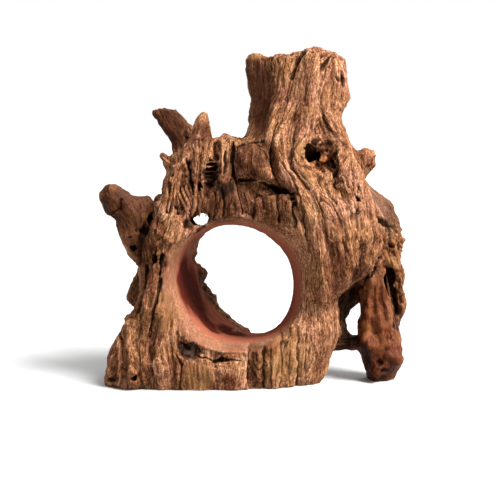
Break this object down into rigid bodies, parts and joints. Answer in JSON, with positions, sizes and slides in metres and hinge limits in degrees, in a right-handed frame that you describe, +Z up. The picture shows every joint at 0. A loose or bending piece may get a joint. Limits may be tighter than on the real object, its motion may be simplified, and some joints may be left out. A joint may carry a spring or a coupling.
{
  "type": "aquarium driftwood",
  "caption": "Gnarled piece of aquarium driftwood: a standing root crown with a wide bored tunnel, a broken trunk on top, short spurs and a hanging root leg.",
  "frame": {"origin": "under the middle of the wood's box, on the surface it stands on", "axes": "+Z up, +Y from the tunnel's carved mouth to its back, +X towards the hanging root leg"},
  "size_m": [0.3052, 0.1598, 0.3329],
  "materials": {
    "weathered_wood": "dry weathered grain, matt, tan ridges over dark splits",
    "dark_wood": "dark red-brown root wood, worn smooth, satin"
  },
  "bodies": {
    "root": {"crown": "weathered_wood", "trunk": "weathered_wood", "left_branch": "dark_wood", "blade_spur": "weathered_wood", "point_spur": "weathered_wood", "outer_root": "dark_wood", "leg": "dark_wood"}
  },
  "joints": []
}
